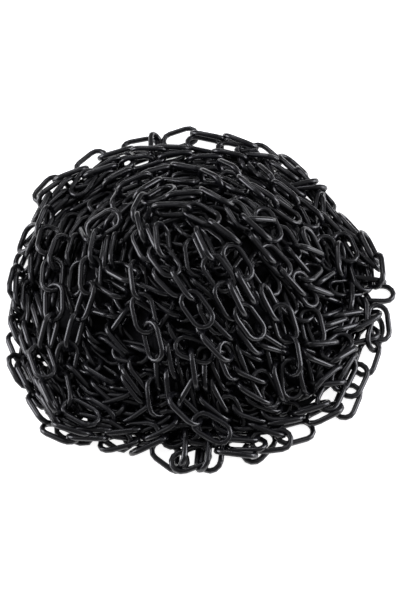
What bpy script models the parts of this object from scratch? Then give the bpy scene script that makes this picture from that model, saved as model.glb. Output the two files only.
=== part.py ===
"""A heap of black plastic chain, tipped out on a level floor.

The chain is one long run of like links. The strands of the heap's skin are made link by link; the chain
under them is one plain core. The heap stands on z = 0, with its middle at the origin. +X is right and +Y
is back. Sizes are in millimetres until a mesh is written, which is in metres.
"""

import math

import bmesh
import bpy
from mathutils import Matrix, Vector
from mathutils.bvhtree import BVHTree

METRE = 0.001

# One link: a long ring of flat-faced wire
LINK_LENGTH = 42.0
LINK_WIDTH = 24.0
WIRE_ACROSS = 4.4
WIRE_DEEP = 6.0
CORNER_CUT = 6.5

# Each link's crown bears this far into the next one's, so that a strand is one solid
JOINT_BITE = 1.2
PITCH = LINK_LENGTH - 2 * WIRE_ACROSS + JOINT_BITE

# The heap's skin, which the strands are laid on, is a dome
CORE_RADIUS = 162.0
CORE_HEIGHT = 93.0
# Swells and hollows of the dome: x, y, reach and height of each
CORE_LUMPS = (
    (-70.0, 40.0, 55.0, 5.0),
    (60.0, 60.0, 50.0, 4.0),
    (85.0, -55.0, 45.0, -6.0),
    (-40.0, -80.0, 50.0, -4.0),
    (20.0, -30.0, 40.0, 4.0),
    (150.0, 0.0, 38.0, -30.0),
)

# The core: hidden chain, as a dome with a flat foot, a little below the skin and hollow at the left
CORE_SHARE = 0.9
CORE_FOOT = 2.0
CORE_RINGS = 10
CORE_SIDES = 44
CORE_HOLLOWS = (
    (-84.0, -30.0, 34.0, 18.0),
    (-78.0, -92.0, 36.0, 12.0),
    (5.0, 10.0, 70.0, 12.0),
)

# The heap is drawn as it is seen from here: routes are in millimetres right and down on a sheet held square
# to this sight line through the heap's middle
SIGHT_ELEVATION = math.radians(57.0)
SIGHT_DISTANCE = 1500.0
SHEET_MIDDLE = (196.0, 299.0)

# Clear space kept round every strand
CLEARANCE = 0.3
RAISE_STEP = 0.5
RAISE_REACH = 26.0
RAISE_TRIES = 160
# A strand that is laid clear is let down in these steps until it touches what it lies on
LOWER_STEP = 0.6
LOWER_TRIES = 60
ROUTE_STEP = 6.0

# Each strand: the turn of its first link about the strand's own line, its height over the heap's skin, and
# its route on the sheet. They are listed in the order in which they lie, from the floor up
STRANDS = {
    "strand_rim_left": (40.0, 9.0, (
        (32, 392), (26, 376), (21, 350), (18, 321), (19, 290), (19, 264), (26, 238), (36, 212))),
    "strand_rim_back": (45.0, 9.0, (
        (40, 198), (56, 185), (73, 174), (92, 163), (115, 153), (141, 144), (158, 139), (180, 136), (209, 138),
        (237, 142), (263, 151), (291, 166), (315, 184), (334, 202), (348, 217), (359, 231), (372, 250),
        (378, 270))),
    "strand_rim_front": (45.0, 9.0, (
        (46, 414), (62, 430), (90, 437), (118, 443), (149, 447), (169, 455), (190, 459), (211, 455), (236, 453),
        (258, 450), (270, 442), (293, 432), (325, 416), (344, 402), (354, 381), (366, 357), (376, 334),
        (379, 312))),
    "strand_free_end": (90.0, 9.0, (
        (359, 293), (346, 290), (332, 288), (318, 290), (300, 282))),
    "strand_right_foot": (45.0, 6.0, (
        (334, 392), (324, 400), (311, 409), (290, 416), (276, 426))),
    "strand_front_foot": (45.0, 4.0, (
        (268, 420), (250, 426), (232, 432), (205, 440), (180, 434), (160, 428))),
    "strand_left_foot": (45.0, 6.0, (
        (74, 420), (98, 428), (124, 430), (148, 426))),
    "strand_left_floor": (45.0, 4.0, (
        (84, 366), (88, 383), (107, 392), (120, 404), (138, 412))),
    "strand_left_hollow": (45.0, -6.0, (
        (98, 304), (98, 326), (107, 348), (130, 354), (146, 370))),
    "strand_left_inside": (45.0, 6.0, (
        (34, 250), (34, 270), (33, 298), (33, 322), (33, 346), (36, 368), (46, 392), (56, 412))),
    "strand_centre_low": (45.0, 2.0, (
        (152, 280), (162, 304), (170, 330), (186, 326))),
    "strand_front_corner": (50.0, 6.0, (
        (126, 366), (142, 380), (150, 396), (160, 414))),
    "strand_left_deep": (45.0, -6.0, (
        (122, 306), (128, 330), (146, 344), (164, 350))),
    "strand_left_inner": (45.0, 2.0, (
        (92, 350), (106, 372), (128, 388))),
    "strand_front_deep": (45.0, 2.0, (
        (148, 352), (156, 376), (166, 398), (184, 426))),
    "strand_front_middle": (45.0, 5.0, (
        (222, 370), (232, 392), (240, 412), (246, 432))),
    "strand_front_slope": (45.0, 5.0, (
        (246, 366), (262, 392), (276, 412))),
    "strand_right_low": (45.0, 4.0, (
        (306, 348), (304, 374), (296, 396), (282, 410))),
    "strand_right_knot": (45.0, 6.0, (
        (296, 262), (312, 278), (326, 294), (336, 314))),
    "strand_centre_black": (45.0, -4.0, (
        (168, 228), (182, 246), (190, 270), (194, 296))),
    "strand_left_second": (40.0, 9.0, (
        (98, 188), (86, 203), (73, 228), (69, 252), (70, 278), (69, 303), (62, 326))),
    "strand_left_fourth": (50.0, 8.0, (
        (130, 184), (122, 204), (117, 228), (112, 254), (113, 282), (120, 300))),
    "strand_top_outer": (45.0, 10.0, (
        (84, 188), (102, 179), (120, 172), (148, 162), (176, 157), (206, 155), (236, 159), (258, 168), (275, 181),
        (292, 197))),
    "strand_back_slope": (50.0, 11.0, (
        (86, 206), (100, 195), (122, 184), (148, 175), (176, 170), (206, 169), (232, 173), (252, 183),
        (268, 197), (284, 214))),
    "strand_shoulder_right": (45.0, 8.0, (
        (296, 184), (309, 198), (320, 212), (333, 227), (350, 240))),
    "strand_right_top": (10.0, 9.0, (
        (352, 236), (358, 254), (361, 277), (352, 300))),
    "strand_right_edge": (45.0, 6.0, (
        (346, 312), (362, 326), (358, 340), (344, 354), (341, 374))),
    "strand_right_inner": (45.0, 8.0, (
        (300, 296), (306, 312), (309, 330), (316, 352), (322, 374), (318, 392))),
    "strand_right_outer": (50.0, 9.0, (
        (318, 304), (330, 313), (334, 332), (332, 354), (330, 372))),
    "strand_right_slope": (20.0, 9.0, (
        (252, 262), (266, 278), (280, 292), (290, 308))),
    "strand_right_cross": (45.0, 12.0, (
        (298, 246), (312, 250), (328, 256), (342, 268))),
    "strand_left_outer": (50.0, 12.0, (
        (64, 190), (54, 206), (47, 224), (50, 248), (53, 275), (54, 304), (49, 332), (44, 363), (49, 394),
        (64, 412))),
    "strand_top_second": (40.0, 11.0, (
        (128, 202), (142, 193), (162, 186), (189, 182), (222, 184), (248, 196), (266, 212))),
    "strand_top_third": (45.0, 9.0, (
        (292, 184), (304, 202), (314, 222), (322, 244), (330, 266))),
    "strand_front_left": (45.0, 12.0, (
        (146, 204), (143, 229), (141, 255), (139, 280), (144, 313), (153, 341), (164, 362))),
    "strand_left_third": (45.0, 13.0, (
        (114, 212), (105, 226), (98, 247), (91, 275), (84, 303), (75, 331), (66, 361), (64, 390), (80, 413),
        (98, 421))),
    "strand_front_right": (45.0, 8.0, (
        (262, 344), (264, 364), (268, 388), (262, 408))),
    "strand_front_ring": (45.0, 10.0, (
        (174, 352), (172, 374), (176, 396), (192, 414), (211, 428), (232, 440))),
    "strand_front_bright": (0.0, 9.0, (
        (184, 342), (198, 350), (207, 368), (204, 392), (206, 410))),
    "strand_middle_left": (40.0, 12.0, (
        (154, 240), (163, 258), (172, 276), (184, 292), (197, 309), (210, 330), (222, 350), (232, 374),
        (242, 396), (252, 412))),
    "strand_crown": (45.0, 11.0, (
        (238, 196), (250, 209), (268, 226), (286, 244), (299, 262), (312, 280))),
    "strand_swirl": (45.0, 14.0, (
        (140, 202), (149, 192), (164, 195), (186, 198), (216, 199), (240, 216), (254, 232), (264, 248),
        (276, 262), (291, 282), (304, 296))),
    "strand_middle": (45.0, 14.0, (
        (196, 230), (208, 250), (218, 273), (229, 301), (241, 328), (254, 352), (262, 374))),
    "strand_middle_right": (50.0, 14.0, (
        (160, 214), (178, 210), (202, 214), (224, 233), (238, 262), (253, 286), (268, 302), (284, 323),
        (290, 352), (292, 384))),
}

# The free end link hangs loosely on the first link of its strand, and its far end is down on the floor
END_LINK_STRAND = "strand_free_end"
END_LINK_REACH = 14.4
END_LINK_FLOOR_GAP = 0.1
END_LINK_HEADING = Vector((1.0, -0.05, 0.0))

BLACK_PLASTIC = (0.012, 0.012, 0.014, 1.0)
PLASTIC_ROUGHNESS = 0.36


def clear_scene():
    for item in list(bpy.data.objects):
        bpy.data.objects.remove(item)


def material(name, colour, roughness):
    made = bpy.data.materials.new(name)
    made.use_nodes = True
    shader = made.node_tree.nodes["Principled BSDF"]
    shader.inputs["Base Color"].default_value = colour
    shader.inputs["Roughness"].default_value = roughness
    shader.inputs["Metallic"].default_value = 0.0
    made.diffuse_color = colour
    return made


def core_height(x, y):
    """Height of the heap's skin over the floor at a place in plan."""
    reach = math.hypot(x, y) / CORE_RADIUS
    if reach >= 1.0:
        return 0.0
    dome = math.cos(math.pi / 2 * reach)
    lumps = sum(rise * math.exp(-((x - lump_x) ** 2 + (y - lump_y) ** 2) / spread ** 2)
                for lump_x, lump_y, spread, rise in CORE_LUMPS)
    return CORE_HEIGHT * dome + lumps * min(1.0, 2.0 * dome)


def core_top(x, y):
    """Height of the core over the floor at a place in plan."""
    hollows = sum(fall * math.exp(-((x - hollow_x) ** 2 + (y - hollow_y) ** 2) / spread ** 2)
                  for hollow_x, hollow_y, spread, fall in CORE_HOLLOWS)
    return max(0.0, CORE_SHARE * core_height(x, y) - hollows) + CORE_FOOT


def core_normal(x, y):
    """Way out of the heap's skin, smoothed over a link's width."""
    span = LINK_WIDTH / 2
    slope_x = (core_height(x + span, y) - core_height(x - span, y)) / (2 * span)
    slope_y = (core_height(x, y + span) - core_height(x, y - span)) / (2 * span)
    return Vector((-slope_x, -slope_y, 1.0)).normalized()


def sheet_to_heap(sheet_x, sheet_y, lift):
    """Carry a point of the drawing along its sight line, on to the heap's skin raised by lift."""
    up = Vector((0.0, math.sin(SIGHT_ELEVATION), math.cos(SIGHT_ELEVATION)))
    eye = Vector((0.0, -math.cos(SIGHT_ELEVATION), math.sin(SIGHT_ELEVATION))) * SIGHT_DISTANCE
    on_sheet = Vector((sheet_x - SHEET_MIDDLE[0], 0.0, 0.0)) + up * (SHEET_MIDDLE[1] - sheet_y)
    sight = (on_sheet - eye).normalized()
    near, far = 0.75 * SIGHT_DISTANCE, 1.3 * SIGHT_DISTANCE
    stride = 5.0
    reach = near
    while reach < far:
        place = eye + sight * reach
        if place.z < core_height(place.x, place.y) + lift:
            break
        reach += stride
    low, high = reach - stride, reach
    for _ in range(14):
        middle = (low + high) / 2
        place = eye + sight * middle
        if place.z < core_height(place.x, place.y) + lift:
            high = middle
        else:
            low = middle
    return eye + sight * high


def smooth_route(points):
    """A smooth curve through the drawn points, read off in even steps."""
    drawn = [Vector((x, y, 0.0)) for x, y in points]
    padded = [2 * drawn[0] - drawn[1]] + drawn + [2 * drawn[-1] - drawn[-2]]
    stations = []
    for before, start, end, after in zip(padded, padded[1:], padded[2:], padded[3:]):
        steps = max(1, round((end - start).length / ROUTE_STEP))
        for step in range(steps):
            t = step / steps
            stations.append(0.5 * (2 * start + (end - before) * t
                                   + (2 * before - 5 * start + 4 * end - after) * t ** 2
                                   + (3 * start - before - 3 * end + after) * t ** 3))
    stations.append(drawn[-1])
    return stations


def step_joints(path):
    """Walk a path link by link: each joint is one pitch, in a straight line, from the one before."""
    joints = [path[0]]
    for start, end in zip(path, path[1:]):
        while (end - joints[-1]).length >= PITCH:
            if (start - joints[-1]).length >= PITCH:
                start = joints[-1]
            low, high = 0.0, 1.0
            for _ in range(20):
                middle = (low + high) / 2
                if (start.lerp(end, middle) - joints[-1]).length < PITCH:
                    low = middle
                else:
                    high = middle
            joints.append(start.lerp(end, high))
    return joints


def link_place(start, end, outward, turn):
    """Matrix of a link between two joints, its flat turned from the way out of the heap."""
    along = (end - start).normalized()
    across = outward.cross(along).normalized()
    level = along.cross(across)
    face = level * math.cos(turn) + across * math.sin(turn)
    side = face.cross(along)
    turned = Matrix((along, side, face)).transposed().to_4x4()
    return Matrix.Translation((start + end) / 2) @ turned


def add_link(mesh, place, grow=0.0):
    """Add one link to a mesh: an outline with cut corners, inset to a ring and raised to its depth."""
    half_length = LINK_LENGTH / 2 + grow
    half_width = LINK_WIDTH / 2 + grow
    depth = WIRE_DEEP + 2 * grow
    outline = (
        (half_length, half_width - CORNER_CUT), (half_length - CORNER_CUT, half_width),
        (CORNER_CUT - half_length, half_width), (-half_length, half_width - CORNER_CUT),
        (-half_length, CORNER_CUT - half_width), (CORNER_CUT - half_length, -half_width),
        (half_length - CORNER_CUT, -half_width), (half_length, CORNER_CUT - half_width),
    )
    corners = [mesh.verts.new((x, y, -depth / 2)) for x, y in outline]
    plate = mesh.faces.new(corners)
    plate.normal_update()
    ring = bmesh.ops.inset_region(mesh, faces=[plate], thickness=WIRE_ACROSS + 2 * grow,
                                  use_even_offset=True, use_boundary=True)["faces"]
    bmesh.ops.delete(mesh, geom=[plate], context="FACES_ONLY")
    raised = bmesh.ops.extrude_face_region(mesh, geom=ring)["geom"]
    top = [item for item in raised if isinstance(item, bmesh.types.BMVert)]
    bmesh.ops.translate(mesh, verts=top, vec=(0.0, 0.0, depth))
    made = {vert for face in ring for vert in face.verts} | set(top)
    faces = {face for vert in made for face in vert.link_faces}
    bmesh.ops.recalc_face_normals(mesh, faces=list(faces))
    bmesh.ops.transform(mesh, matrix=place, verts=list(made))


def links_mesh(places, grow=0.0):
    mesh = bmesh.new()
    for place in places:
        add_link(mesh, place, grow)
    return mesh


def strand_places(path, first_turn):
    """Matrix of every link along a path, each turned a quarter from the one before."""
    joints = step_joints(path)
    places = []
    for number, (start, end) in enumerate(zip(joints, joints[1:])):
        middle = (start + end) / 2
        outward = core_normal(middle.x, middle.y)
        places.append(link_place(start, end, outward, math.radians(first_turn + 90 * (number % 2))))
    return places


def lay_strand(route, first_turn, lift, laid):
    """Lay one strand: raise it wherever a link strikes what already lies there, then let it down to touch."""
    path = [sheet_to_heap(station.x, station.y, lift) for station in smooth_route(route)]
    outwards = [core_normal(point.x, point.y) for point in path]
    for _ in range(RAISE_TRIES):
        places = strand_places(path, first_turn)
        struck = [place.translation for place in places if strikes(place, laid)]
        if not struck:
            return let_down(path, outwards, first_turn, laid, places)
        for point, outward in zip(path, outwards):
            near = min((point - middle).length for middle in struck)
            point += outward * RAISE_STEP * math.exp(-(near / RAISE_REACH) ** 2)
    raise ValueError("a strand finds no clear place")


def let_down(path, outwards, first_turn, laid, places):
    """Lower a clear strand, step by step, for as long as it strikes nothing."""
    for step in range(1, LOWER_TRIES):
        lowered = [point - outward * LOWER_STEP * step for point, outward in zip(path, outwards)]
        lower_places = strand_places(lowered, first_turn)
        if any(strikes(place, laid) for place in lower_places):
            return places
        places = lower_places
    return places


def strikes(place, laid):
    """Whether a link, grown by the clearance, meets the floor or anything laid before it."""
    mesh = links_mesh([place], CLEARANCE)
    lowest = min(vert.co.z for vert in mesh.verts)
    tree = BVHTree.FromBMesh(mesh)
    mesh.free()
    return lowest < CLEARANCE or any(tree.overlap(other) for other in laid)


def end_link_place(joint):
    """The free link: its near crown behind the strand's, its far end down on the floor."""
    far_end = END_LINK_REACH + LINK_LENGTH / 2
    drop = joint.z - WIRE_DEEP / 2 - END_LINK_FLOOR_GAP
    slope = -drop / far_end
    heading = END_LINK_HEADING.normalized() * math.sqrt(1.0 - slope ** 2) + Vector((0.0, 0.0, slope))
    middle = joint + heading * END_LINK_REACH
    return link_place(middle - heading, middle + heading, Vector((0.0, 0.0, 1.0)), 0.0)


def make_object(name, mesh, finish, heap):
    data = bpy.data.meshes.new(name)
    bmesh.ops.scale(mesh, vec=(METRE, METRE, METRE), verts=mesh.verts)
    mesh.to_mesh(data)
    mesh.free()
    data.materials.append(finish)
    made = bpy.data.objects.new(name, data)
    made.parent = heap
    bpy.context.scene.collection.objects.link(made)
    return made


def make_strand(name, places, finish, heap):
    """One solid of a strand: every second link, fused with the links between them where they bear."""
    strand = make_object(name, links_mesh(places[0::2]), finish, heap)
    between = make_object(name + "_between", links_mesh(places[1::2]), finish, heap)
    between.hide_render = True
    between.display_type = "WIRE"
    fuse = strand.modifiers.new("fuse", "BOOLEAN")
    fuse.operation = "UNION"
    fuse.object = between


def core_mesh():
    """The dome: its profile turned about the heap's middle, then swelled and hollowed."""
    mesh = bmesh.new()
    profile = [mesh.verts.new((CORE_RADIUS * (1 - ring / CORE_RINGS), 0.0, 0.0)) for ring in range(CORE_RINGS)]
    edges = [mesh.edges.new(pair) for pair in zip(profile, profile[1:])]
    bmesh.ops.spin(mesh, geom=profile + edges, cent=(0, 0, 0), axis=(0, 0, 1),
                   angle=2 * math.pi, steps=CORE_SIDES)
    bmesh.ops.remove_doubles(mesh, verts=mesh.verts, dist=0.01)
    open_edges = [edge for edge in mesh.edges if edge.is_boundary]
    inner = [edge for edge in open_edges if edge.verts[0].co.xy.length < CORE_RADIUS / 2]
    outer = [edge for edge in open_edges if edge not in inner]
    bmesh.ops.edgeloop_fill(mesh, edges=inner)
    foot = bmesh.ops.extrude_edge_only(mesh, edges=outer)["geom"]
    lip = [item for item in foot if isinstance(item, bmesh.types.BMVert)]
    low_edges = [item for item in foot if isinstance(item, bmesh.types.BMEdge)]
    for vert in mesh.verts:
        vert.co.z = core_top(vert.co.x, vert.co.y)
    for vert in lip:
        vert.co.z = 0.0
    bmesh.ops.edgeloop_fill(mesh, edges=low_edges)
    bmesh.ops.triangulate(mesh, faces=[face for face in mesh.faces if len(face.verts) == 4])
    bmesh.ops.recalc_face_normals(mesh, faces=mesh.faces)
    return mesh


def tree_of(mesh):
    tree = BVHTree.FromBMesh(mesh)
    mesh.free()
    return tree


def main():
    clear_scene()
    plastic = material("black_plastic", BLACK_PLASTIC, PLASTIC_ROUGHNESS)
    heap = bpy.data.objects.new("heap", None)
    bpy.context.scene.collection.objects.link(heap)

    make_object("heap_core", core_mesh(), plastic, heap)
    laid = [tree_of(core_mesh())]
    for name, (first_turn, lift, route) in STRANDS.items():
        places = lay_strand(route, first_turn, lift, laid)
        make_strand(name, places, plastic, heap)
        laid.append(tree_of(links_mesh(places)))
        if name == END_LINK_STRAND:
            joint = places[0] @ Vector((-PITCH / 2, 0.0, 0.0))
            end_place = end_link_place(joint)
            make_object("end_link", links_mesh([end_place]), plastic, heap)
            laid.append(tree_of(links_mesh([end_place])))


main()
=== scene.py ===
"""The looks of a heap of black plastic chain: every link of the heap's skin and of the chain below it."""

import math

import bpy
import numpy as np
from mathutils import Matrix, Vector


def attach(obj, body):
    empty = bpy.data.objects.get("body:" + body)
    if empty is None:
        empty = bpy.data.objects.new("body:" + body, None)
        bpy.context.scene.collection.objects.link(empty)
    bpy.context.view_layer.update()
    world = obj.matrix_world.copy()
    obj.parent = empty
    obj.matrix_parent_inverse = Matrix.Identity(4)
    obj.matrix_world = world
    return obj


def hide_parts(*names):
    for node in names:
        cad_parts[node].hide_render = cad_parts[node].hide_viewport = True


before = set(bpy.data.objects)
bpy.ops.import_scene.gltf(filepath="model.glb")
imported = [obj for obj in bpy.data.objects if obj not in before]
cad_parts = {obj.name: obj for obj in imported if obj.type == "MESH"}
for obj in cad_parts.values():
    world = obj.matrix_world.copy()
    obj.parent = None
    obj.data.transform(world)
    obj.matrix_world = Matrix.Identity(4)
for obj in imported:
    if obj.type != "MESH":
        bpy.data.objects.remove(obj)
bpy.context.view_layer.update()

METRE = 0.001

# The link, in millimetres: a long ring of flat-faced wire with rounded arrises
LINK_LENGTH = 42.0
LINK_WIDTH = 24.0
WIRE_ACROSS = 5.0
WIRE_DEEP = 5.4
ARRIS = 1.5
BEND_RADIUS = (LINK_WIDTH - WIRE_ACROSS) / 2
STRAIGHT = LINK_LENGTH - WIRE_ACROSS - 2 * BEND_RADIUS

# How finely a link is modelled: steps round each bend of the shown and the hidden links, steps round an
# arris, and how near two points are made one, in millimetres
BEND_STEPS = 6
HIDDEN_BEND_STEPS = 4
ARRIS_STEPS = 1
MERGE_REACH = 0.01

# How much of the skin's slope the links take on, to left and right and to front and back
SHOWN_LEAN = (0.0, 1.0)
RIM_LEAN = (0.0, 0.0)
HIDDEN_LEAN = (1.0, 1.0)

# How far one link lies from the next in slack chain
SLACK_PITCH = 26.5

# The photograph's view: sight line through the heap's middle, and where that middle is in the photograph
SIGHT_ELEVATION = math.radians(57.0)
SIGHT_DISTANCE = 1500.0
PHOTO_WIDTH = 401
PHOTO_HEIGHT = 601
HEAP_MIDDLE_PX = (196.0, 299.0)

# Which way is up in the photograph, and where the camera stands
SIGHT_UP = np.array([0.0, math.sin(SIGHT_ELEVATION), math.cos(SIGHT_ELEVATION)])
EYE = np.array([0.0, -math.cos(SIGHT_ELEVATION), math.sin(SIGHT_ELEVATION)]) * SIGHT_DISTANCE

# How far to each side of a link's middle, in the photograph, its heading is carried on to the heap
HEADING_REACH_PX = 8.0

# The search along a sight line for the heap's skin: its start and its span as shares of the sight distance,
# its stride in millimetres, and how often the last stride is halved
SEARCH_START = 0.75
SEARCH_SPAN = 0.55
SEARCH_STRIDE = 4.0
SEARCH_HALVINGS = 12

# The body of hidden chain that the visible strands lie on: a dome, and its lumps as x, y, spread and rise,
# which fade out near the dome's foot
CORE_RADIUS = 162.0
CORE_HEIGHT = 93.0
CORE_LUMPS = (
    (-70.0, 40.0, 55.0, 5.0),
    (60.0, 60.0, 50.0, 4.0),
    (85.0, -55.0, 45.0, -6.0),
    (-40.0, -80.0, 50.0, -4.0),
    (20.0, -30.0, 40.0, 4.0),
    (150.0, 0.0, 38.0, -30.0),
)
LUMP_FADE = 2.0

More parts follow.
